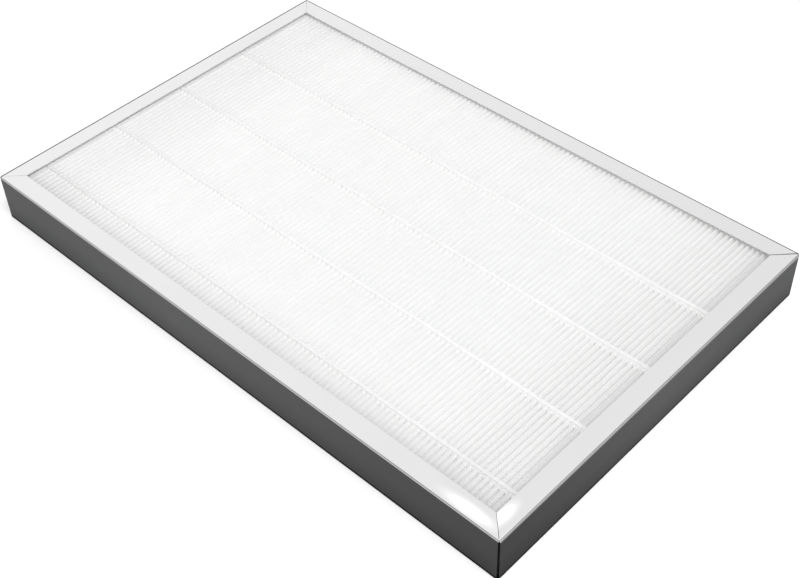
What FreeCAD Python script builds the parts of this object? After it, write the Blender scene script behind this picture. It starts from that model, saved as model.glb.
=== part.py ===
import FreeCAD, Part
import math
import os
import Sketcher

# Finely pleated panel filter of an air purifier, lying flat.
# A folded sheet-metal channel frame holds a pleated media pack, glue threads keep the
# pleats apart on both faces, and four runs of sealant bond the pack into the channel.
# Millimetres. Origin at the centre of the underside, +X along the length, +Z up.

doc = FreeCAD.newDocument("air_purifier_filter")
sizes = doc.addObject("Spreadsheet::Sheet", "sizes")

DRIVING_SIZES = (
    ("length", 400.0),           # outside of the frame along X
    ("width", 262.0),            # outside of the frame along Y
    ("depth", 32.5),             # outside of the frame along Z, the way the air goes
    ("rim_width", 12.0),         # how far both rims reach in from the outside
    ("plate", 0.7),              # thickness of the frame's sheet metal
    ("fold_radius", 0.4),        # inside radius where the rims fold off the wall
    ("corner_radius", 1.6),      # outside radius of the folded corners, seen from above
    ("mitre_gap", 0.35),         # slit between two rims at a corner
    ("joint_gap", 1.0),          # open joint where the two ends of the strip meet
    ("pleat_pitch", 3.49),       # from one crease to the next, before the pack is evened out
    ("crease_clearance", 1.55),  # from the inside of a rim to the creases
    ("media_thickness", 0.45),   # glass-fibre paper
    ("crease_slope", 40.0),      # degrees that each side of a crease falls from its crown
    ("crease_depth", 0.7),       # crown of a crease down to its inside corner
    ("left_seal", 0.95),         # sealant between the left wall and the foot of the pack
    ("right_seal", 3.28),        # sealant between the right wall and the foot of the pack
    ("side_seal", 1.5),          # sealant between the pleat ends and the long walls
    ("thread_count", 4),         # glue threads on each face
    ("thread_spacing", 54.0),    # from one glue thread to the next
    ("thread_margin", 28.2),     # near long wall's outside to the middle of the first thread
    ("thread_width", 2.6),       # glue thread along Y
    ("thread_rise", 0.35),       # how far a thread stands above the creases
    ("thread_bevel", 0.2),       # bevel of a thread's two long edges
)
for row, (alias, value) in enumerate(DRIVING_SIZES, start=1):
    sizes.set("A%d" % row, alias)
    sizes.set("B%d" % row, str(value))
    sizes.setAlias("B%d" % row, alias)
doc.recompute()

# Measures that several pieces share, each worked out from the sheet.
HALF_LENGTH = "(sizes.length / 2)"
HALF_WIDTH = "(sizes.width / 2)"
PACK_SPAN = "(sizes.length - 2 * sizes.plate - sizes.left_seal - sizes.right_seal)"
PLEATS = "round(%s / sizes.pleat_pitch)" % PACK_SPAN
PITCH = "(%s / %s)" % (PACK_SPAN, PLEATS)
PACK_LOW = "(sizes.plate + sizes.crease_clearance)"
PACK_HEIGHT = "(sizes.depth - 2 * %s)" % PACK_LOW
PACK_WIDTH = "(sizes.width - 2 * sizes.plate - 2 * sizes.side_seal)"
FIRST_CREASE = "(sizes.plate + sizes.left_seal + %s / 2 - %s)" % (PITCH, HALF_LENGTH)
CREASE_FALL = "(sizes.media_thickness * tan(sizes.crease_slope * 1deg))"


def measure(expression):
    return float(sizes.evalExpression(expression.replace("sizes.", "")))


def origin_feature(body, role):
    return next(f for f in body.Origin.OriginFeatures if f.Role == role)


def new_body(label):
    body = doc.addObject("PartDesign::Body", label)
    body.Label = label
    return body


def plane_sketch(body, role, name, shift=(), turn=0.0):
    """A sketch on an origin plane, shifted by (axis, expression) pairs and turned in it."""
    sketch = body.newObject("Sketcher::SketchObject", name)
    sketch.AttachmentSupport = [(origin_feature(body, role), "")]
    sketch.MapMode = "FlatFace"
    sketch.AttachmentOffset = FreeCAD.Placement(
        FreeCAD.Vector(), FreeCAD.Rotation(FreeCAD.Vector(0, 0, 1), turn))
    for axis, expression in shift:
        sketch.setExpression("AttachmentOffset.Base." + axis, expression)
    return sketch


def outline(sketch, points):
    """A closed outline of straight lines; each point is a pair of expressions."""
    places = [FreeCAD.Vector(measure(across), measure(up), 0) for across, up in points]
    first = sketch.GeometryCount
    count = len(points)
    for number in range(count):
        sketch.addGeometry(Part.LineSegment(places[number], places[(number + 1) % count]))
    for number, (across, up) in enumerate(points):
        line = first + number
        following = first + (number + 1) % count
        sketch.addConstraint(Sketcher.Constraint("Coincident", line, 2, following, 1))
        for kind, value, expression in (("DistanceX", places[number].x, across),
                                        ("DistanceY", places[number].y, up)):
            constraint = Sketcher.Constraint(kind, -1, 1, line, 1, value)
            index = sketch.addConstraint(constraint)
            sketch.setExpression("Constraints[%d]" % index, expression)


def rectangle(sketch, along, across):
    """A closed rectangle about the sketch's origin."""
    outline(sketch, [("%s(%s) / 2" % (x_sign, along), "%s(%s) / 2" % (y_sign, across))
                     for x_sign, y_sign in (("-", "-"), ("", "-"), ("", ""), ("-", ""))])


def pad(body, sketch, name, height, midplane=False):
    feature = body.newObject("PartDesign::Pad", name)
    feature.Profile = sketch
    feature.Midplane = midplane
    feature.setExpression("Length", height)
    doc.recompute()
    return feature


def row_along_x(body, feature, name, count):
    """Repeats a feature count times at the pleats' pitch."""
    pattern = body.newObject("PartDesign::LinearPattern", name)
    pattern.Originals = [feature]
    pattern.Direction = (origin_feature(body, "X_Axis"), [""])
    pattern.setExpression("Occurrences", count)
    pattern.setExpression("Length", "%s * (%s - 1)" % (PITCH, count))
    body.Tip = pattern
    doc.recompute()


def pocket_through(body, sketch, name):
    """A cut right through the depth, upwards from a sketch on the underside."""
    before = body.Shape.Volume
    feature = body.newObject("PartDesign::Pocket", name)
    feature.Profile = sketch
    feature.Type = "Length"
    feature.Reversed = True
    feature.setExpression("Length", "sizes.depth")
    doc.recompute()
    if not feature.Shape.Volume < before:
        raise RuntimeError(name + " cuts nothing")


def dress(body, kind, name, size_name, expression, chosen):
    """Rounds or bevels the edges of the body for which chosen(edge) is true."""
    base = body.Tip
    names = ["Edge%d" % number for number, edge in enumerate(base.Shape.Edges, start=1)
             if chosen(edge)]
    feature = body.newObject("PartDesign::" + kind, name)
    feature.Base = (base, names)
    feature.setExpression(size_name, expression)
    doc.recompute()


NEAR_ENOUGH = 1e-4


def is_upright(edge, half_length, half_width):
    """True for an upright edge at a corner half_length by half_width from the centre."""
    box = edge.BoundBox
    return (box.ZLength > box.XLength + box.YLength
            and abs(abs(box.Center.x) - half_length) < NEAR_ENOUGH
            and abs(abs(box.Center.y) - half_width) < NEAR_ENOUGH)


def is_level(edge, heights, half_length, half_width):
    """True for an edge of the level loop that reaches half_length by half_width in plan."""
    box = edge.BoundBox
    reach_x = max(abs(box.XMin), abs(box.XMax))
    reach_y = max(abs(box.YMin), abs(box.YMax))
    return (box.ZLength < NEAR_ENOUGH
            and any(abs(box.Center.z - height) < NEAR_ENOUGH for height in heights)
            and (abs(reach_x - half_length) < NEAR_ENOUGH
                 or abs(reach_y - half_width) < NEAR_ENOUGH))


def channel_frame():
    """One strip of sheet: both rims folded in, bent round three corners, open at the fourth."""
    body = new_body("frame_channel")

    wall_plan = plane_sketch(body, "XY_Plane", "wall_plan")
    rectangle(wall_plan, "sizes.length", "sizes.width")
    rectangle(wall_plan, "sizes.length - 2 * sizes.plate", "sizes.width - 2 * sizes.plate")
    pad(body, wall_plan, "wall", "sizes.depth")

    for side, height in (("lower", "0"), ("upper", "sizes.depth - sizes.plate")):
        rim_plan = plane_sketch(body, "XY_Plane", side + "_rim_plan", [("z", height)])
        rectangle(rim_plan, "sizes.length", "sizes.width")
        rectangle(rim_plan, "sizes.length - 2 * sizes.rim_width",
                  "sizes.width - 2 * sizes.rim_width")
        pad(body, rim_plan, side + "_rim", "sizes.plate")

    outer = (measure(HALF_LENGTH), measure(HALF_WIDTH))
    plate = measure("sizes.plate")
    inner = (outer[0] - plate, outer[1] - plate)
    depth = measure("sizes.depth")
    dress(body, "Fillet", "outer_corners", "Radius", "sizes.corner_radius",
          lambda edge: is_upright(edge, *outer))
    dress(body, "Fillet", "inner_corners", "Radius", "sizes.corner_radius - sizes.plate",
          lambda edge: is_upright(edge, *inner))
    dress(body, "Fillet", "outer_folds", "Radius", "sizes.fold_radius + sizes.plate",
          lambda edge: is_level(edge, (0, depth), *outer))
    dress(body, "Fillet", "inner_folds", "Radius", "sizes.fold_radius",
          lambda edge: is_level(edge, (plate, depth - plate), *inner))

    # A mitre slit runs from the opening's corner to where the rims fold off the wall.
    rim_run = "(sizes.rim_width - sizes.plate - sizes.fold_radius)"
    slit_middle = "((%s - sizes.mitre_gap) / 2 - sizes.rim_width)" % rim_run
    slit_length = "sqrt(2) * (%s + sizes.mitre_gap)" % rim_run
    for corner, x_sign, y_sign in (("near_left", -1, -1), ("near_right", 1, -1),
                                   ("far_right", 1, 1), ("far_left", -1, 1)):
        slit_plan = plane_sketch(body, "XY_Plane", "mitre_plan_" + corner, [
            ("x", "%d * (%s + %s)" % (x_sign, HALF_LENGTH, slit_middle)),
            ("y", "%d * (%s + %s)" % (y_sign, HALF_WIDTH, slit_middle))],
            math.degrees(math.atan2(y_sign, x_sign)))
        rectangle(slit_plan, slit_length, "sizes.mitre_gap")
        pocket_through(body, slit_plan, "mitre_" + corner)

    # The open joint cuts wall and folds at the near right corner, out past the corner.
    joint_middle = "((%s - sizes.rim_width) / 2)" % rim_run
    joint_plan = plane_sketch(body, "XY_Plane", "joint_plan", [
        ("x", "%s + %s" % (HALF_LENGTH, joint_middle)),
        ("y", "-1 * (%s + %s)" % (HALF_WIDTH, joint_middle))], math.degrees(-math.pi / 4))
    rectangle(joint_plan, "sqrt(2) * (sizes.rim_width - %s + 2 * sizes.joint_gap)" % rim_run,
              "sizes.joint_gap")
    pocket_through(body, joint_plan, "joint")


def media_pack():
    """One sheet folded to and fro: a pleat from foot to foot, repeated along X.

    A crease is a low roof outside and a sharp corner inside.
    """
    body = new_body("media_pack")
    half = "(%s / 2)" % PITCH
    top = PACK_HEIGHT
    shoulder = "sizes.media_thickness"
    upper = [("-1 * " + half, "sizes.crease_depth"),
             ("-1 * " + shoulder, "%s - %s" % (top, CREASE_FALL)),
             ("0", top),
             (shoulder, "%s - %s" % (top, CREASE_FALL)),
             (half, "sizes.crease_depth")]
    lower = [(half, "0"),
             ("%s - %s" % (half, shoulder), CREASE_FALL),
             ("0", "%s - sizes.crease_depth" % top),
             ("%s - %s" % (shoulder, half), CREASE_FALL),
             ("-1 * " + half, "0")]
    section = plane_sketch(body, "XZ_Plane", "pleat_section",
                           [("x", FIRST_CREASE), ("y", PACK_LOW)])
    outline(section, upper + lower)
    pleat = pad(body, section, "pleat", PACK_WIDTH, midplane=True)
    row_along_x(body, pleat, "pleats", PLEATS)


def glue_thread(face, number):
    """A bead laid across the creases that dips into the mouth between every two pleats.

    Its teeth lie flush on the roofs of the creases and keep the pleats at their pitch.
    """
    upwards = face == "upper"
    body = new_body("glue_thread_%s_%d" % (face, number))
    body.setExpression("Placement.Base.y", "sizes.thread_margin - %s + %d * sizes.thread_spacing"
                       % (HALF_WIDTH, number - 1))
    level = "(%s + %s)" % (PACK_LOW, PACK_HEIGHT) if upwards else PACK_LOW
    start = FIRST_CREASE if upwards else "(%s + %s / 2)" % (FIRST_CREASE, PITCH)
    mouths = "(%s - %d)" % (PLEATS, 1 if upwards else 2)
    outwards = "" if upwards else "-"
    inwards = "-" if upwards else ""

    bar_section = plane_sketch(body, "XZ_Plane", "bar_section", [("x", start), ("y", level)])
    run = "%s * %s" % (PITCH, mouths)
    outline(bar_section, [("0", "0"), (run, "0"), (run, outwards + "sizes.thread_rise"),
                          ("0", outwards + "sizes.thread_rise")])
    pad(body, bar_section, "bar", "sizes.thread_width", midplane=True)
    back = measure("%s + %ssizes.thread_rise" % (level, outwards))
    dress(body, "Chamfer", "bevels", "Size", "sizes.thread_bevel",
          lambda edge: edge.BoundBox.XLength > edge.BoundBox.YLength
          and abs(edge.BoundBox.Center.z - back) < NEAR_ENOUGH)

    tooth_section = plane_sketch(body, "XZ_Plane", "tooth_section", [("x", start), ("y", level)])
    dip = "%s(%s / 2 * tan(sizes.crease_slope * 1deg))" % (inwards, PITCH)
    outline(tooth_section, [("0", "0"), (PITCH, "0"), (PITCH + " / 2", dip)])
    tooth = pad(body, tooth_section, "tooth", "sizes.thread_width", midplane=True)
    row_along_x(body, tooth, "teeth", mouths)


def long_side_sealant(side, wall_y):
    """A slab between a long wall and the cut ends of the pleats."""
    slab = doc.addObject("Part::Box", "sealant_" + side)
    slab.Label = "sealant_" + side
    slab.setExpression("Length", "sizes.length - 2 * sizes.corner_radius")
    slab.setExpression("Width", "sizes.side_seal")
    slab.setExpression("Height", PACK_HEIGHT)
    slab.setExpression("Placement.Base.x", "sizes.corner_radius - " + HALF_LENGTH)
    slab.setExpression("Placement.Base.y", wall_y)
    slab.setExpression("Placement.Base.z", PACK_LOW)


def short_side_sealant(side, outwards, seal, last_crease):
    """Fills the wedge between a short wall and the last leg of the pack."""
    body = new_body("sealant_" + side)
    section = plane_sketch(body, "XZ_Plane", "section", [("x", last_crease), ("y", PACK_LOW)])
    foot = "%s(%s / 2)" % (outwards, PITCH)
    wall = "%s(%s / 2 + %s)" % (outwards, PITCH, seal)
    top = "%s - %s" % (PACK_HEIGHT, CREASE_FALL)
    outline(section, [(foot, "0"), (foot, "sizes.crease_depth"),
                      (outwards + "sizes.media_thickness", top), (wall, top), (wall, "0")])
    pad(body, section, "wedge", PACK_WIDTH, midplane=True)


channel_frame()
media_pack()
for pack_face in ("upper", "lower"):
    for thread in range(1, int(measure("sizes.thread_count")) + 1):
        glue_thread(pack_face, thread)
long_side_sealant("near", "sizes.plate - " + HALF_WIDTH)
long_side_sealant("far", "%s - sizes.plate - sizes.side_seal" % HALF_WIDTH)
short_side_sealant("left", "-", "sizes.left_seal", FIRST_CREASE)
short_side_sealant("right", "", "sizes.right_seal",
                   "%s + %s * (%s - 1)" % (FIRST_CREASE, PITCH, PLEATS))

# Every object is checked before anything is written.
doc.recompute()
for item in doc.Objects:
    if "Invalid" in item.State or "Error" in item.State:
        raise RuntimeError("%s failed: %s" % (item.Name, item.State))

nodes = [item for item in doc.Objects if item.TypeId in ("PartDesign::Body", "Part::Box")]
for node in nodes:
    if node.Shape.isNull() or not node.Shape.isValid():
        raise RuntimeError(node.Label + " has no valid shape")
    if len(node.Shape.Solids) != 1:
        raise RuntimeError(node.Label + " is not one solid")

os.makedirs("parts", exist_ok=True)
for node in nodes:
    node.Shape.exportStep("parts/%s.step" % node.Label)
    box = node.Shape.BoundBox
    print("%-20s %9.1f mm3  x %7.2f to %7.2f  y %7.2f to %7.2f  z %5.2f to %5.2f" % (
        node.Label, node.Shape.Volume, box.XMin, box.XMax, box.YMin, box.YMax,
        box.ZMin, box.ZMax))
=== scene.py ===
import math

import bmesh
import bpy
from mathutils import Matrix, Vector, noise


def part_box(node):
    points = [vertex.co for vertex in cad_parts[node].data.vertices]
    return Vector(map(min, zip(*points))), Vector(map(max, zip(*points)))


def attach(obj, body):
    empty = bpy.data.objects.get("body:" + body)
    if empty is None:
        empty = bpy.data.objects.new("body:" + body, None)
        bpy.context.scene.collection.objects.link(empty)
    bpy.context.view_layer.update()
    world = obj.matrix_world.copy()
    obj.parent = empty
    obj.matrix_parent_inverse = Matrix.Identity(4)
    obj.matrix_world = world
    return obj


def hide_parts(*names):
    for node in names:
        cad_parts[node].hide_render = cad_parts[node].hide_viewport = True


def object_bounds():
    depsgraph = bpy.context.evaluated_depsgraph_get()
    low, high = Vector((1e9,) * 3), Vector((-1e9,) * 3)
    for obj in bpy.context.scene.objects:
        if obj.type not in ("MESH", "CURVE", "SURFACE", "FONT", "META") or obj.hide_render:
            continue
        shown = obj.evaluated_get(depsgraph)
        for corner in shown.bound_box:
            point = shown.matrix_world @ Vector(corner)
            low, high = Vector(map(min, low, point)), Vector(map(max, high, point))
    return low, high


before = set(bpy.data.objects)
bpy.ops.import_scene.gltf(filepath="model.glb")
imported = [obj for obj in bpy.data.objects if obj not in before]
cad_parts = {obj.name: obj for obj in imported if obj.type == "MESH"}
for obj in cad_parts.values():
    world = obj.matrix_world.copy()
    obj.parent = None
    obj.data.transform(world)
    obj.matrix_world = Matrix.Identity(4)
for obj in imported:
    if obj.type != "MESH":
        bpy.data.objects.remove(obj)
cad_low, cad_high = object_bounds()

# Air purifier filter: a pleated paper pack in a folded sheet-metal channel. Metres.

MM = 0.001
LENGTH, WIDTH, DEPTH = (cad_high[axis] - cad_low[axis] for axis in range(3))
PLATE = 0.7 * MM
RIM_WIDTH = 12.0 * MM
FOLD_INSIDE = 0.4 * MM
FOLD_OUTSIDE = FOLD_INSIDE + PLATE
CORNER_RADIUS = 1.6 * MM

PACK_LOW, PACK_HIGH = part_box("media_pack")
PITCH = 3.49 * MM
PLEATS = round((PACK_HIGH.x - PACK_LOW.x) / PITCH)
HALF_PITCH = (PACK_HIGH.x - PACK_LOW.x) / PLEATS / 2
FIRST_CREASE = PACK_LOW.x + HALF_PITCH
PAPER = 0.45 * MM
THREAD_PLACES = [(face, number) for face in ("upper", "lower") for number in (1, 2, 3, 4)]


def thread_middle(number):
    """Y of a glue thread."""
    low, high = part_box("glue_thread_upper_%d" % number)
    return (low.y + high.y) / 2


THREAD_Y = [thread_middle(number) for number in (1, 2, 3, 4)]


def wander(*place):
    """Smooth noise between about -1 and 1."""
    return 2 * noise.noise(Vector(place))


def finish_piece(name, bm, material, replaced, sharp_angle=35):
    """Turns a bmesh into a shown piece with smooth faces and sharp edges past an angle."""
    bmesh.ops.recalc_face_normals(bm, faces=bm.faces)
    for face in bm.faces:
        face.smooth = True
    for edge in bm.edges:
        if len(edge.link_faces) == 2:
            edge.smooth = edge.calc_face_angle(0.0) < math.radians(sharp_angle)
    mesh = bpy.data.meshes.new(name)
    bm.to_mesh(mesh)
    bm.free()
    piece = bpy.data.objects.new(name, mesh)
    bpy.context.scene.collection.objects.link(piece)
    mesh.materials.append(material)
    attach(piece, "root")
    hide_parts(*replaced)


# Materials


class Nodes:
    """Short words for making a material's nodes."""

    def __init__(self, name, roughness, metallic=0.0):
        self.material = bpy.data.materials.new(name)
        self.material.use_nodes = True
        self.tree = self.material.node_tree
        self.shader = self.tree.nodes["Principled BSDF"]
        self.shader.inputs["Roughness"].default_value = roughness
        self.shader.inputs["Metallic"].default_value = metallic
        self.place = self.tree.nodes.new("ShaderNodeTexCoord")

    def link(self, source, target):
        self.tree.links.new(source, target)

    def parts(self, vector):
        """The three numbers of a vector."""
        node = self.tree.nodes.new("ShaderNodeSeparateXYZ")
        self.link(vector, node.inputs[0])
        return node.outputs

    def math(self, operation, *values):
        node = self.tree.nodes.new("ShaderNodeMath")
        node.operation = operation
        for number, value in enumerate(values):
            if isinstance(value, (int, float)):
                node.inputs[number].default_value = value
            else:
                self.link(value, node.inputs[number])
        return node.outputs[0]

    def spread(self, value, low, high, to_low=0.0, to_high=1.0, smooth=True):
        """value from low..high mapped to to_low..to_high and held there past the ends."""
        node = self.tree.nodes.new("ShaderNodeMapRange")
        node.interpolation_type = "SMOOTHSTEP" if smooth else "LINEAR"
        self.link(value, node.inputs["Value"])
        for name, number in (("From Min", low), ("From Max", high),
                             ("To Min", to_low), ("To Max", to_high)):
            node.inputs[name].default_value = number
        return node.outputs["Result"]

    def noise(self, scale, detail=3.0, stretch=(1, 1, 1), roughness=0.5):
        """Noise of the place on the object; scale is in waves per metre."""
        mapping = self.tree.nodes.new("ShaderNodeMapping")
        self.link(self.place.outputs["Object"], mapping.inputs["Vector"])
        mapping.inputs["Scale"].default_value = stretch
        node = self.tree.nodes.new("ShaderNodeTexNoise")
        self.link(mapping.outputs[0], node.inputs["Vector"])
        node.inputs["Scale"].default_value = scale
        node.inputs["Detail"].default_value = detail
        node.inputs["Roughness"].default_value = roughness
        return node.outputs["Fac"]

    def ramp(self, value, stops):
        """Grey tones by value: stops are (place, tone)."""
        node = self.tree.nodes.new("ShaderNodeValToRGB")
        self.link(value, node.inputs[0])
        elements = node.color_ramp.elements
        while len(elements) < len(stops):
            elements.new(0.5)
        for element, (place, tone) in zip(elements, stops):
            element.position = place
            element.color = (tone, tone, tone, 1)
        return node.outputs["Color"]

    def mix(self, share, first, second, kind="MIX"):
        node = self.tree.nodes.new("ShaderNodeMix")
        node.data_type = "RGBA"
        node.blend_type = kind
        for name, value in (("Factor", share), ("A", first), ("B", second)):
            socket = next(s for s in node.inputs if s.name == name and (
                s.type == "VALUE" if name == "Factor" else s.type == "RGBA"))
            if isinstance(value, tuple):
                socket.default_value = value + (1,)
            elif isinstance(value, (int, float)):
                socket.default_value = value
            else:
                self.link(value, socket)
        return next(s for s in node.outputs if s.type == "RGBA")

    def bump(self, height, strength, distance):
        node = self.tree.nodes.new("ShaderNodeBump")
        node.inputs["Strength"].default_value = strength
        node.inputs["Distance"].default_value = distance
        self.link(height, node.inputs["Height"])
        self.link(node.outputs["Normal"], self.shader.inputs["Normal"])

    def colour(self, value):
        self.link(value, self.shader.inputs["Base Color"])


def patch(m, place, middle, reach):
    """1 inside an upright oval column of the object, fading to 0 at its reach."""
    x, y = place
    across = m.math("DIVIDE", m.math("SUBTRACT", x, middle[0]), reach[0])
    along = m.math("DIVIDE", m.math("SUBTRACT", y, middle[1]), reach[1])
    away = m.math("SQRT", m.math("ADD", m.math("MULTIPLY", across, across),
                                 m.math("MULTIPLY", along, along)))
    return m.spread(away, 0.35, 1.1, 1.0, 0.0)


# Painted highlights on the rims beside the open joint, as (middle, reach) in x and y.
NEAR_HIGHLIGHT = (0.1775, -0.1262), (0.0225, 0.005)
RIGHT_HIGHLIGHT = (0.1915, -0.1175), (0.0052, 0.013)


def rolled_sheet():
    """Satin sheet metal. The rims are pale; the walls, which in the photo mirror a dark
    room, carry that darker tone themselves, so it follows the direction of the surface."""
    m = Nodes("rolled_sheet", 0.4)
    m.shader.inputs["Specular Tint"].default_value = (0.45, 0.45, 0.45, 1)
    x, y, z = m.parts(m.place.outputs["Object"])
    facing = m.parts(m.place.outputs["Normal"])
    up = facing[2]
    from_right = m.math("SUBTRACT", LENGTH / 2, x)
    from_near = m.math("ADD", y, WIDTH / 2)
    inward = m.math("MINIMUM", m.math("SUBTRACT", LENGTH / 2, m.math("ABSOLUTE", x)),
                    m.math("SUBTRACT", WIDTH / 2, m.math("ABSOLUTE", y)))
    # Tone by the surface's direction, with painted light in it: pale rims, on the upper fold a
    # painted highlight line and a darker painted shade line beside the rim, and the lower fold
    # painted near black as shade.
    fold = m.ramp(m.spread(up, -1, 1, smooth=False), (
        (0.0, 0.95), (0.05, 0.3), (0.12, 0.012), (0.46, 0.012), (0.5, 0.3), (0.6, 0.6),
        (0.7, 0.7), (0.87, 0.6), (0.93, 0.45), (0.965, 0.9), (1.0, 0.965)))
    # Painted shade: the rims and folds darker towards the right.
    fold = m.mix(m.spread(x, -LENGTH / 2, LENGTH / 2, smooth=False), fold,
                 (0.83, 0.83, 0.83), "MULTIPLY")
    # Painted shade: a dark line along the upper fold where it turns away, on the far and left
    # sides.
    turned_away = m.math("MAXIMUM", m.spread(x, -LENGTH / 2 + 1.9 * MM, -LENGTH / 2 + 1.2 * MM),
                         m.spread(y, WIDTH / 2 - 1.6 * MM, WIDTH / 2 - 1.0 * MM))
    turned_away = m.math("MULTIPLY", turned_away, m.spread(up, 0.45, 0.65))
    fold = m.mix(turned_away, fold, (0.05, 0.05, 0.05))
    # Painted shade: the inside face of the lower rim, within the channel, near black.
    lower_inside = m.math("MULTIPLY", m.spread(z, 2.0 * MM, 1.5 * MM), m.spread(up, 0.0, 0.3))
    fold = m.mix(lower_inside, fold, (0.012, 0.012, 0.012))
    right_rim = m.math("GREATER_THAN", from_near, from_right)
    near_rim = m.math("SUBTRACT", 1.0, right_rim)
    # Painted highlights: white ovals on the two rims beside the open joint.
    near_highlight = patch(m, (x, y), *NEAR_HIGHLIGHT)
    right_highlight = patch(m, (x, y), *RIGHT_HIGHLIGHT)
    painted_highlight = m.math("ADD", m.math("MULTIPLY", near_highlight, near_rim),
                    m.math("MULTIPLY", right_highlight, right_rim))
    painted_highlight = m.math("MULTIPLY", painted_highlight, m.spread(up, 0.9, 0.99))
    fold = m.mix(painted_highlight, fold, (1.0, 1.0, 1.0))
    # Painted reflection of a dark room on the walls: darkest at the open joint's corner,
    # lighter away from it.
    along = m.spread(x, LENGTH / 2, -0.04, smooth=False)
    across = m.spread(y, -WIDTH / 2, 0.0, smooth=False)
    away = m.math("MAXIMUM", along, across)
    wall = m.mix(away, (0.079, 0.079, 0.08), (0.149, 0.15, 0.151))
    # Painted reflection: the right wall a little darker.
    facing_right = m.spread(facing[0], 0.3, 0.7)
    wall = m.mix(facing_right, wall, (0.97, 0.97, 0.97), "MULTIPLY")
    # Painted reflection: the walls darker towards the bottom.
    wall = m.mix(m.spread(z, 0.6 * DEPTH, 0.0, 0.0, 0.4), wall, (0.5, 0.5, 0.5), "MULTIPLY")
    near_or_right = m.math("MAXIMUM", facing_right, m.spread(facing[1], -0.3, -0.7))
    # Painted highlight: a lighter line on the right wall just under the upper fold.
    under_upper_fold = m.spread(z, DEPTH - 2.5 * MM, DEPTH - 1.8 * MM)
    wall = m.mix(m.math("MULTIPLY", under_upper_fold, facing_right), wall, (0.35, 0.35, 0.35))
    # Painted shade: a near-black line on the near and right walls just above the lower fold.
    above_lower_fold = m.math("MULTIPLY", m.spread(z, 2.8 * MM, 1.8 * MM), near_or_right)
    wall = m.mix(above_lower_fold, wall, (0.008, 0.008, 0.008))
    wall = m.mix(m.spread(inward, 4 * MM, 8 * MM), wall, (0.9, 0.9, 0.9))
    upright = m.spread(m.math("ABSOLUTE", up), 0.05, 0.25, 1.0, 0.0)
    colour = m.mix(upright, fold, wall)
    streaks = m.noise(500, 3, (0.05, 0.05, 1))
    colour = m.mix(0.08, colour, m.ramp(streaks, ((0.3, 0.8), (0.7, 1.0))), "MULTIPLY")
    m.colour(colour)
    # Metallic: the walls fully, the rims partly, the painted highlights not at all, so they
    # show white.
    matt = m.math("MAXIMUM", m.math("MULTIPLY", m.spread(m.math("ABSOLUTE", up), 0.9, 0.99),
                                    0.65), painted_highlight)
    m.link(m.math("SUBTRACT", 1.0, matt), m.shader.inputs["Metallic"])
    m.link(m.spread(m.noise(60, 3), 0.3, 0.7, 0.41, 0.44), m.shader.inputs["Roughness"])
    m.bump(m.noise(1500, 2, (0.1, 0.1, 1)), 0.04, 0.00005)
    return m.material


PAPER_GLOW = 0.04
MOUTH_GLOW = 0.08


def greyer_outwards(m, x, y, colour, near_tone, beside_tone, end_tone):
    """Painted shade: greyer towards the near rim, right beside it and the right one, and
    towards both ends.
    """
    near = m.spread(y, -WIDTH / 2 + 42 * MM, -WIDTH / 2 + 12 * MM)
    colour = m.mix(near, colour, (near_tone,) * 3, "MULTIPLY")
    beside_rim = m.math("MAXIMUM", m.spread(y, -WIDTH / 2 + 21 * MM, -WIDTH / 2 + 12 * MM),
                        m.spread(x, LENGTH / 2 - 24 * MM, LENGTH / 2 - 13 * MM))
    colour = m.mix(beside_rim, colour, (beside_tone,) * 3, "MULTIPLY")
    ends = m.spread(m.math("ABSOLUTE", x), LENGTH / 2 - 80 * MM, LENGTH / 2 - 25 * MM)
    return m.mix(ends, colour, (end_tone,) * 3, "MULTIPLY")


def glass_paper():
    """Matt white glass-fibre paper with a fine fibre grain and faint mottling.

    Light wanders through such a thin sheet, so its pleats look nearly as white inside as
    on their crowns. The paper is painted whiter inside the pleats and greyer on the
    crowns to even out their light and shade, and the faint glow is painted light that
    stands for the light a path cut off after a few bounces leaves out, most of all in the
    mouths below the far rim.
    """
    m = Nodes("glass_paper", 0.95)
    x, y, z = m.parts(m.place.outputs["Object"])
    depth = m.math("MINIMUM", m.math("SUBTRACT", PACK_HIGH.z, z),
                   m.math("SUBTRACT", z, PACK_LOW.z))
    inside = m.spread(depth, 0.2 * MM, 0.9 * MM)
    mottle = m.noise(45, 4)
    fibres = m.noise(1500, 4, (1, 0.35, 1), 0.6)
    # Painted light: the crowns greyer and the insides of the pleats whiter, evening out their
    # light and shade.
    crown = m.mix(m.spread(mottle, 0.35, 0.65), (0.815, 0.815, 0.813), (0.84, 0.84, 0.838))
    crown = greyer_outwards(m, x, y, crown, 0.88, 0.94, 0.96)
    colour = m.mix(inside, crown, (0.992, 0.992, 0.99))
    colour = greyer_outwards(m, x, y, colour, 0.97, 0.94, 0.97)
    colour = m.mix(m.spread(fibres, 0.3, 0.7, 0.0, 0.5), colour, (0.97, 0.97, 0.97), "MULTIPLY")
    m.colour(colour)
    m.bump(fibres, 0.1, 0.0001)
    # Painted light: a faint glow all over, stronger in the mouths below the far rim.
    m.shader.inputs["Emission Color"].default_value = (1.0, 1.0, 1.0, 1.0)
    far_edge = WIDTH / 2 - RIM_WIDTH
    mouth = m.math("MULTIPLY", m.spread(y, far_edge - 2 * MM, far_edge),
                   m.spread(depth, 0.5 * MM, 1.5 * MM))
    m.link(m.spread(mouth, 0.0, 1.0, PAPER_GLOW, MOUTH_GLOW, smooth=False),
           m.shader.inputs["Emission Strength"])
    return m.material


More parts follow.
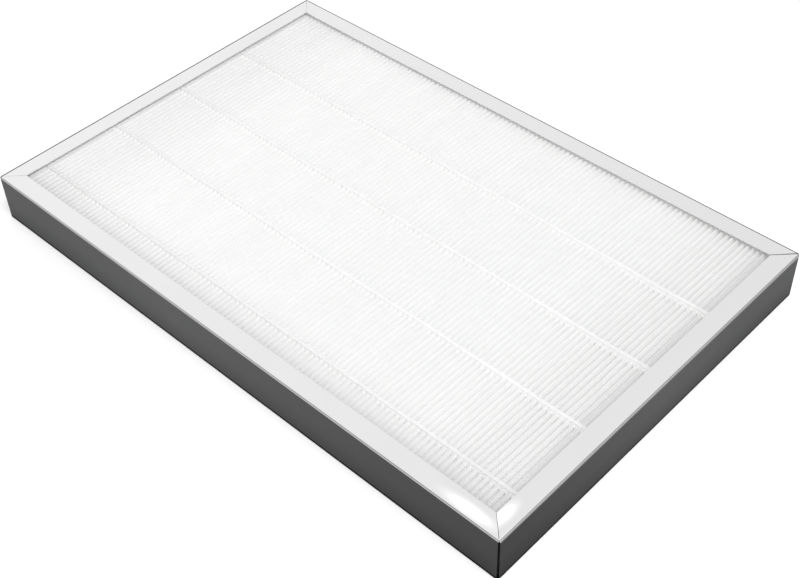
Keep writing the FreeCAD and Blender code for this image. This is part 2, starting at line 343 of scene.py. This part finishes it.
def hot_melt():
    """Waxy off-white hot-melt glue, painted whiter where it sinks into the mouths to lift the
    shade there, and with a faint painted glow.
    """
    m = Nodes("hot_melt", 0.5)
    x, y, z = m.parts(m.place.outputs["Object"])
    depth = m.math("MINIMUM", m.math("SUBTRACT", PACK_HIGH.z, z),
                   m.math("SUBTRACT", z, PACK_LOW.z))
    lumps = m.noise(350, 3)
    top = m.mix(m.spread(lumps, 0.3, 0.7), (0.82, 0.82, 0.818), (0.88, 0.88, 0.878))
    top = greyer_outwards(m, x, y, top, 0.86, 0.9, 0.93)
    # Painted light: whiter deeper down, in the mouths.
    m.colour(m.mix(m.spread(depth, 0.2 * MM, 1.0 * MM), top, (0.98, 0.98, 0.978)))
    m.bump(lumps, 0.2, 0.0002)
    # Painted light: the paper's faint glow.
    m.shader.inputs["Emission Color"].default_value = (1.0, 1.0, 1.0, 1.0)
    m.shader.inputs["Emission Strength"].default_value = PAPER_GLOW
    return m.material


def sealant():
    """Off-white cast sealant inside the channel, painted black behind the open joint as the
    shade seen through it.
    """
    m = Nodes("cast_sealant", 0.6)
    x, y, z = m.parts(m.place.outputs["Object"])
    unshaded_sealant = m.mix(m.spread(m.noise(200, 3), 0.3, 0.7), (0.82, 0.82, 0.81), (0.88, 0.88, 0.87))
    from_joint = m.math("MAXIMUM", m.math("SUBTRACT", LENGTH / 2, x),
                        m.math("ADD", y, WIDTH / 2))
    # Painted shade: black within about 14 to 22 mm of the open joint.
    m.colour(m.mix(m.spread(from_joint, 22 * MM, 14 * MM), unshaded_sealant, (0.014, 0.014, 0.014)))
    m.bump(m.noise(500, 2), 0.2, 0.0002)
    return m.material


# Channel frame


def arc(centre_u, centre_z, radius, start, end, steps):
    """Points of a fold, from one angle in degrees to another."""
    angles = [math.radians(start + (end - start) * k / steps) for k in range(steps + 1)]
    return [(centre_u + radius * math.cos(a), centre_z + radius * math.sin(a)) for a in angles]


def channel_section():
    """(outer, inner) points of the channel as (inward distance, height), in step.

    Both run from the lower rim's free edge up the wall to the upper rim's free edge.
    """
    rim = [RIM_WIDTH - (RIM_WIDTH - FOLD_OUTSIDE) * share for share in
           (0.0, 0.15, 0.35, 0.55, 0.75, 0.88, 0.95)]
    wall = [FOLD_OUTSIDE + (DEPTH - 2 * FOLD_OUTSIDE) * share for share in
            (0.02, 0.2, 0.4, 0.6, 0.8, 0.98)]
    fold_steps = 6
    outer = [(u, 0.0) for u in rim]
    inner = [(u, PLATE) for u in rim]
    for points, radius in ((outer, FOLD_OUTSIDE), (inner, FOLD_INSIDE)):
        points += arc(FOLD_OUTSIDE, FOLD_OUTSIDE, radius, 270, 180, fold_steps)
        points += [(FOLD_OUTSIDE - radius, z) for z in wall]
        points += arc(FOLD_OUTSIDE, DEPTH - FOLD_OUTSIDE, radius, 180, 90, fold_steps)
    outer += [(u, DEPTH) for u in reversed(rim)]
    inner += [(u, DEPTH - PLATE) for u in reversed(rim)]
    return outer, inner


NEAR_RIGHT, FAR_RIGHT, FAR_LEFT, NEAR_LEFT = range(4)
SLITS = {NEAR_RIGHT: 0.25 * MM, FAR_RIGHT: 0.6 * MM, FAR_LEFT: 0.12 * MM, NEAR_LEFT: 0.08 * MM}
LOWER_SLIT = 0.04 * MM
JOINT_GAP = 1.25 * MM
JOINT_DROOP = 0.8 * MM


def gap_at(corner, u, z):
    """How far two sides stand apart across a corner, at an inward distance and a height.

    The open joint closes to the mitre's slit over the upper fold, and to a point below.
    """
    slit = SLITS[corner]
    if corner != NEAR_RIGHT:
        return slit
    fold_closing = (z - DEPTH + 1.5 * FOLD_OUTSIDE) / (0.5 * FOLD_OUTSIDE)
    if z < DEPTH / 2:
        slit = LOWER_SLIT
        fold_closing = (FOLD_OUTSIDE - z) / FOLD_INSIDE
    closing = max((u - 0.7 * FOLD_OUTSIDE) / MM, fold_closing)
    return JOINT_GAP + (slit - JOINT_GAP) * min(1.0, max(0.0, closing))


def joint_distance(along, side):
    """How far a place on a side is from the joint at the near right corner."""
    if side == 0:
        return WIDTH / 2 + along
    if side == 3:
        return LENGTH / 2 - along
    return LENGTH


def warp(along, u, z, side):
    """Small unevenness of the sheet: (inward, upward) shift at a place on a side."""
    reach = max(0.0, u - FOLD_OUTSIDE) / (RIM_WIDTH - FOLD_OUTSIDE)
    upper = 1 if z > DEPTH / 2 else -1
    dip = 0.12 * MM * (1 + wander(along / 0.07, side * 5.3, upper))
    if upper == 1:
        dip += JOINT_DROOP * math.exp(-joint_distance(along, side) / (16 * MM))
    bow = math.sin(math.pi * min(1.0, max(0.0, z / DEPTH)))
    inward = 0.05 * MM * (1 + wander(along / 0.1, side * 3.1, 9.2)) * bow
    return (inward if u < FOLD_OUTSIDE else 0.0), -upper * dip * reach ** 1.5


def frame_strip(material):
    """The folded strip: four sides, mitred rims, walls bent round three corners."""
    outer, inner = channel_section()
    count = len(outer)
    section = outer + inner
    wall_range = [k for k in range(count) if outer[k][0] < FOLD_OUTSIDE + 1e-7]
    first_wall, last_wall = wall_range[0], wall_range[-1]
    bm = bmesh.new()
    # Each side runs from its first corner to its second; inwards is to the left of the run.
    sides = ((NEAR_RIGHT, FAR_RIGHT, Vector((LENGTH / 2, 0, 0)), Vector((0, 1, 0)), WIDTH / 2),
             (FAR_RIGHT, FAR_LEFT, Vector((0, WIDTH / 2, 0)), Vector((-1, 0, 0)), LENGTH / 2),
             (FAR_LEFT, NEAR_LEFT, Vector((-LENGTH / 2, 0, 0)), Vector((0, -1, 0)), WIDTH / 2),
             (NEAR_LEFT, NEAR_RIGHT, Vector((0, -WIDTH / 2, 0)), Vector((1, 0, 0)), LENGTH / 2))

    def end_place(half, corner, u, z):
        """(distance along the side, turn round the corner) of the sheet's end there."""
        gap = gap_at(corner, u, z)
        straight = half - max(CORNER_RADIUS, u + gap / math.sqrt(2))
        if corner != NEAR_RIGHT:
            return straight, 0.0
        bend = CORNER_RADIUS - u
        if bend * math.sqrt(2) <= gap:
            return straight, 0.0
        return half - CORNER_RADIUS, math.pi / 4 - math.asin(gap / 2 / bend)

    def place(middle, run, half, along, turn, sign, u, z, side):
        """A point of the strip; turn bends it round the corner at the sign end."""
        inwards = Vector((-run.y, run.x, 0))
        push, lift = warp(along, u, z, side)
        if turn:
            centre = middle + run * sign * (half - CORNER_RADIUS) + inwards * CORNER_RADIUS
            out = -inwards * math.cos(turn) + run * sign * math.sin(turn)
            return centre + out * (CORNER_RADIUS - u) + Vector((0, 0, z))
        return middle + run * along + inwards * (u + push) + Vector((0, 0, z + lift))

    def bent_ring(side_number, sign, share):
        """A ring at a share of the bend that leads to the open joint, at the sign end."""
        middle, run, half = sides[side_number][2:]
        ring = []
        for u, z in section:
            along, turn = end_place(half, NEAR_RIGHT, u, z)
            ring.append(place(middle, run, half, sign * along, share * turn, sign, u, z,
                              side_number))
        return ring

    def columns(side_number):
        """Rings of points along one side, each a list over the section."""
        first, second, middle, run, half = sides[side_number]
        stations = 56 if half == LENGTH / 2 else 40
        rings = []
        turn_steps = 3
        if first == NEAR_RIGHT:
            for step in range(turn_steps, 0, -1):
                rings.append(bent_ring(side_number, -1, step / turn_steps))
        for step in range(stations + 1):
            share = 0.5 - 0.5 * math.cos(math.pi * step / stations)
            ring = []
            for u, z in section:
                start = -end_place(half, first, u, z)[0]
                end = end_place(half, second, u, z)[0]
                ring.append(place(middle, run, half, start + (end - start) * share, 0.0, 1,
                                  u, z, side_number))
            rings.append(ring)
        if second == NEAR_RIGHT:
            for step in range(1, turn_steps + 1):
                rings.append(bent_ring(side_number, 1, step / turn_steps))
        return [[bm.verts.new(point) for point in ring] for ring in rings]

    def join(ring, following, numbers):
        """Faces between two rings over runs of neighbouring section points."""
        for a, b in zip(numbers, numbers[1:]):
            bm.faces.new((ring[a], ring[b], following[b], following[a]))

    def cap(ring, numbers):
        """The cut edge of the sheet, between its outer and inner points."""
        for a, b in zip(numbers, numbers[1:]):
            bm.faces.new((ring[a], ring[b], ring[count + b], ring[count + a]))

    around = list(range(count)) + list(range(2 * count - 1, count - 1, -1)) + [0]
    lower_rim = list(range(0, first_wall + 1))
    upper_rim = list(range(last_wall, count))
    wall_loop = (list(range(first_wall, last_wall + 1))
                 + list(range(count + last_wall, count + first_wall - 1, -1)) + [first_wall])
    all_rings = [columns(number) for number in range(4)]
    for rings in all_rings:
        for ring, following in zip(rings, rings[1:]):
            join(ring, following, around)
    cap(all_rings[0][0], list(range(count)))
    cap(all_rings[3][-1], list(range(count)))
    bend_steps = 5
    for number in range(3):
        before, after = all_rings[number][-1], all_rings[number + 1][0]
        for rim in (lower_rim, upper_rim):
            cap(before, rim)
            cap(after, rim)
        middle, run, half = sides[number][2:]
        previous = before
        for step in range(1, bend_steps):
            turn = math.pi / 2 * step / bend_steps
            ring = {}
            for k in wall_loop[:-1]:
                u, z = section[k]
                ring[k] = bm.verts.new(place(middle, run, half, 0.0, turn, 1, u, z, number))
            join(previous, ring, wall_loop)
            previous = ring
        join(previous, after, wall_loop)
    bmesh.ops.remove_doubles(bm, verts=bm.verts, dist=1e-6)
    finish_piece("frame_strip", bm, material, ["frame_channel"])


# Pleated pack


def pinned(y):
    """1 at a glue thread, falling to 0 away from it."""
    return max(math.exp(-((y - middle) / (5 * MM)) ** 2) for middle in THREAD_Y)


def crease_shift(number, y, face):
    """(x, z) wander of a crease; face is 0 on the upper side and 1 on the lower one."""
    free = 1 - 0.6 * pinned(y)
    seed = 17.3 * face
    across = (0.2 * wander(number * 0.77 + seed, y / 0.03, 1.7)
              + 0.15 * wander(number * 0.31 + seed, y / 0.11, 5.2))
    up = 0.1 * wander(number * 0.61 + seed, y / 0.025, 8.4) - 0.08
    return across * MM * free, up * MM * free * (1 if face == 0 else -1)


def crease_arc(x, z, outwards):
    """Five points over a crease from left to right."""
    angles = (180, 130, 90, 50, 0)
    return [(x + PAPER * math.cos(math.radians(a)),
             z + outwards * PAPER * (math.sin(math.radians(a)) - 1)) for a in angles]


def pleat_lines(y):
    """(upper, lower) points of the folded sheet at one y, each from left to right."""
    low, high = PACK_LOW.z, PACK_HIGH.z
    inside = 0.7 * MM
    shallow, deep = 2.2 * MM, 7.0 * MM
    tops = []
    feet = []
    for number in range(PLEATS):
        dx, dz = crease_shift(number, y, 0)
        tops.append((FIRST_CREASE + 2 * HALF_PITCH * number + dx, high + dz))
    for number in range(PLEATS + 1):
        dx, dz = crease_shift(number, y, 1) if 0 < number < PLEATS else (0.0, 0.0)
        feet.append((PACK_LOW.x + 2 * HALF_PITCH * number + dx, low + dz))

    def leg(top, foot, depth, side):
        """Right or left face of a leg at a depth below its crease."""
        share = depth / (high - low)
        direction = 1 if foot[0] > top[0] else -1
        x = top[0] + direction * PAPER + (foot[0] - top[0] - direction * PAPER) * share
        return (x if side == "upper" else x - direction * PAPER), top[1] - depth

    upper = []
    lower = [(feet[0][0] + PAPER, low + 0.4 * MM)]
    for number, top in enumerate(tops):
        left, right = feet[number], feet[number + 1]
        upper += [(left[0], left[1] + inside), leg(top, left, deep, "upper"),
                  leg(top, left, shallow, "upper")]
        upper += crease_arc(top[0], top[1], 1)
        upper += [leg(top, right, shallow, "upper"), leg(top, right, deep, "upper")]
        lower += [leg(top, left, deep, "lower"), leg(top, left, shallow, "lower"),
                  (top[0], top[1] - inside),
                  leg(top, right, shallow, "lower"), leg(top, right, deep, "lower")]
        if number < PLEATS - 1:
            lower += crease_arc(right[0], right[1], -1)
    upper.append((feet[-1][0], feet[-1][1] + inside))
    lower.append((feet[-1][0] - PAPER, low + 0.4 * MM))
    return upper, lower


def pleated_media(material):
    """The pack: one folded sheet, closed at its cut edges."""
    bm = bmesh.new()
    stations = 40
    rows = []
    for step in range(stations + 1):
        y = PACK_LOW.y + (PACK_HIGH.y - PACK_LOW.y) * step / stations
        rows.append([[bm.verts.new((x, y, z)) for x, z in line] for line in pleat_lines(y)])
    for (upper, lower), (next_upper, next_lower) in zip(rows, rows[1:]):
        for line, following in ((upper, next_upper), (lower, next_lower)):
            for k in range(len(line) - 1):
                bm.faces.new((line[k], line[k + 1], following[k + 1], following[k]))
        for end in (0, -1):
            bm.faces.new((upper[end], lower[end], next_lower[end], next_upper[end]))
    per_pleat = 10
    for upper, lower in (rows[0], rows[-1]):
        for pleat in range(PLEATS):
            above = upper[per_pleat * pleat:per_pleat * (pleat + 1) + 1]
            start = per_pleat * pleat
            below = lower[start:start + 6]
            following = lower[start + 6] if start + 6 < len(lower) else lower[-1]
            bm.faces.new((above[0], above[1], below[1], below[0]))
            bm.faces.new((above[1], above[2], below[2], below[1]))
            bm.faces.new((above[2], above[3], below[3], below[2]))
            for k in range(3, 7):
                bm.faces.new((above[k], above[k + 1], below[3]))
            bm.faces.new((above[7], above[8], below[4], below[3]))
            bm.faces.new((above[8], above[9], below[5], below[4]))
            bm.faces.new((above[9], above[10], following, below[5]))
            if pleat < PLEATS - 1:
                for k in range(4):
                    bm.faces.new((above[10], lower[start + 6 + k], lower[start + 7 + k]))
    finish_piece("pleated_media", bm, material, ["media_pack"])


# Glue threads


def glue_bead(face, number, material):
    """A lumpy bead over the creases that sinks into the mouths between them."""
    node = "glue_thread_%s_%d" % (face, number)
    low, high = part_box(node)
    middle = (low.y + high.y) / 2
    lower_face = face == "lower"
    outwards = -1 if lower_face else 1
    level = PACK_LOW.z if lower_face else PACK_HIGH.z
    bm = bmesh.new()
    per_pitch = 6
    steps = round((high.x - low.x) / (2 * HALF_PITCH)) * per_pitch
    rings = []
    for step in range(steps + 1):
        x = low.x + (high.x - low.x) * step / steps
        mouth = abs(math.sin(math.pi * step / per_pitch))
        crease = FIRST_CREASE + (HALF_PITCH if lower_face else 0)
        order = round((x - crease) / (2 * HALF_PITCH))
        y = middle + 0.35 * MM * wander(x / 0.05, number * 4.1, outwards * 2.2)
        lump = 0.5 + 0.5 * wander(order * 0.83, number * 2.7, outwards * 6.1)
        half_width = (1.15 + 0.3 * lump + 0.12 * mouth) * MM
        top = (0.2 - 0.14 * mouth + 0.05 * lump) * MM
        bottom = (-0.1 - 5.5 * mouth) * MM
        ring = []
        foot = 1.0 + 0.15 * mouth
        profile = ((-foot, bottom), (-1.0, 0.2 * bottom), (-0.8, 0.7 * top), (-0.4, 0.95 * top),
                   (0.0, top), (0.4, 0.95 * top), (0.8, 0.7 * top), (1.0, 0.2 * bottom),
                   (foot, bottom))
        for across, up in profile:
            ring.append(bm.verts.new((x, y + across * half_width, level + outwards * up)))
        rings.append(ring)
    for ring, following in zip(rings, rings[1:]):
        for k in range(len(ring)):
            after = (k + 1) % len(ring)
            bm.faces.new((ring[k], ring[after], following[after], following[k]))
    bm.faces.new(rings[0])
    bm.faces.new(rings[-1])
    finish_piece("glue_bead_%s_%d" % (face, number), bm, material, [node], 70)


# The piece's parts

metal = rolled_sheet()
frame_strip(metal)
pleated_media(glass_paper())
glue = hot_melt()
for face, number in THREAD_PLACES:
    glue_bead(face, number, glue)
cast = sealant()
for side in ("near", "far", "left", "right"):
    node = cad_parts["sealant_" + side]
    node.data.materials.clear()
    node.data.materials.append(cast)


# Floor, light and camera


def studio():
    """A pale floor, an even white surround and one large soft lamp."""
    mesh = bpy.data.meshes.new("floor")
    reach = 4.0
    mesh.from_pydata([(-reach, -reach, 0), (reach, -reach, 0), (reach, reach, 0),
                      (-reach, reach, 0)], [], [(0, 1, 2, 3)])
    floor = bpy.data.objects.new("floor", mesh)
    bpy.context.scene.collection.objects.link(floor)
    material = bpy.data.materials.new("floor_white")
    material.use_nodes = True
    tree = material.node_tree
    shader = tree.nodes["Principled BSDF"]
    shader.inputs["Base Color"].default_value = (0.8, 0.8, 0.8, 1)
    shader.inputs["Roughness"].default_value = 0.9
    shader.inputs["Emission Color"].default_value = (1, 1, 1, 1)
    path = tree.nodes.new("ShaderNodeLightPath")
    mirrored = tree.nodes.new("ShaderNodeMath")
    mirrored.operation = "MAXIMUM"
    tree.links.new(path.outputs["Is Camera Ray"], mirrored.inputs[0])
    tree.links.new(path.outputs["Is Glossy Ray"], mirrored.inputs[1])
    seen = tree.nodes.new("ShaderNodeMath")
    seen.operation = "MAXIMUM"
    tree.links.new(mirrored.outputs[0], seen.inputs[0])
    tree.links.new(path.outputs["Is Transmission Ray"], seen.inputs[1])
    share = tree.nodes.new("ShaderNodeMath")
    share.operation = "MULTIPLY"
    share.inputs[1].default_value = 0.3
    tree.links.new(seen.outputs[0], share.inputs[0])
    tree.links.new(share.outputs[0], shader.inputs["Emission Strength"])
    mesh.materials.append(material)

    world = bpy.data.worlds.new("surround")
    bpy.context.scene.world = world
    world.use_nodes = True
    background = world.node_tree.nodes["Background"]
    background.inputs["Color"].default_value = (1, 1, 1, 1)
    background.inputs["Strength"].default_value = 0.618

    lamp = bpy.data.lights.new("soft_lamp", "AREA")
    lamp.shape = "RECTANGLE"
    lamp.size = 1.0
    lamp.size_y = 1.0
    lamp.energy = 27.7
    holder = bpy.data.objects.new("soft_lamp", lamp)
    bpy.context.scene.collection.objects.link(holder)
    holder.location = (0.9, -0.4, 2.0)
    holder.rotation_euler = (-holder.location).to_track_quat("-Z", "Y").to_euler()


def photo_camera():
    """The photograph's viewpoint."""
    place = Vector((0.42539, -0.41859, 0.55497))
    aim = Vector((0.05098, -0.03948, 0.0325))
    roll = math.radians(-2.114)
    data = bpy.data.cameras.new("photo_camera")
    data.sensor_width = 36.0
    data.lens = 60.69
    camera = bpy.data.objects.new("photo_camera", data)
    bpy.context.scene.collection.objects.link(camera)
    turn = (aim - place).to_track_quat("-Z", "Y").to_matrix() @ Matrix.Rotation(roll, 3, "Z")
    camera.rotation_euler = turn.to_euler()
    camera.location = place
    bpy.context.scene.camera = camera


studio()
photo_camera()
bpy.context.scene.view_settings.view_transform = "Standard"
